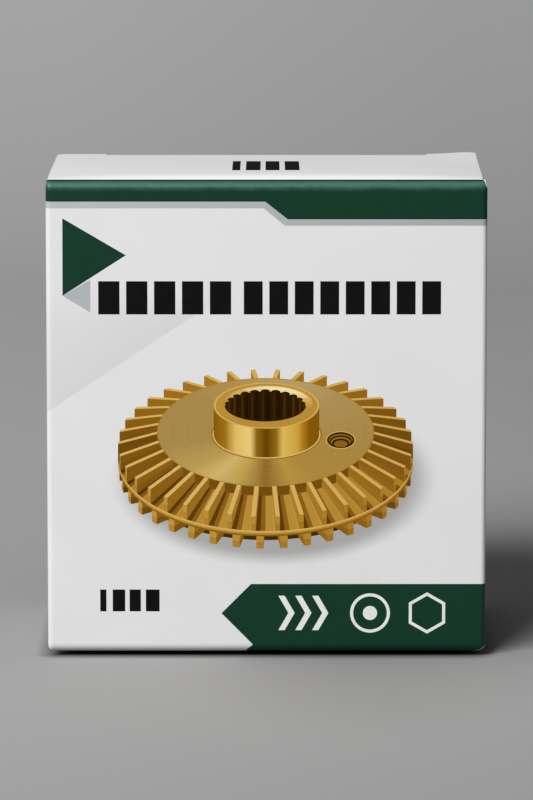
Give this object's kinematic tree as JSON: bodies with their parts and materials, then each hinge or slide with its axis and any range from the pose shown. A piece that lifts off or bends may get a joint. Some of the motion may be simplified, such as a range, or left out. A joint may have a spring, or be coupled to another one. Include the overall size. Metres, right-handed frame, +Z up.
{
  "type": "folding carton",
  "caption": "Upright folding carton for a small pump part, with a hinged lid, a slit-locked tuck flap, dust flaps and a glued bottom.",
  "frame": {"origin": "middle of the base, at the height of what it stands on", "axes": "+Z up from the base to the lid, -Y out of the printed front, +X to the right of someone who faces the front"},
  "size_m": [0.07, 0.046, 0.0766],
  "materials": {
    "board": "satin"
  },
  "bodies": {
    "carton": {"carton_body": "board"},
    "lid": {"top_lid": "board"},
    "tuck": {"tuck_flap": "board"}
  },
  "joints": [
    {"name": "lid_hinge", "type": "hinge", "parent": "carton", "child": "lid", "pos_m": [0, -0.02256, 0.07616], "axis": [1, 0, 0], "range_deg": [0, 135]},
    {"name": "tuck_fold", "type": "hinge", "parent": "lid", "child": "tuck", "pos_m": [0, 0.02123, 0.0754], "axis": [-1, 0, 0], "range_deg": [0, 33.75]}
  ],
  "couplings": [
    {"joint": "tuck_fold", "follows": "lid_hinge", "ratio": 0.25}
  ]
}
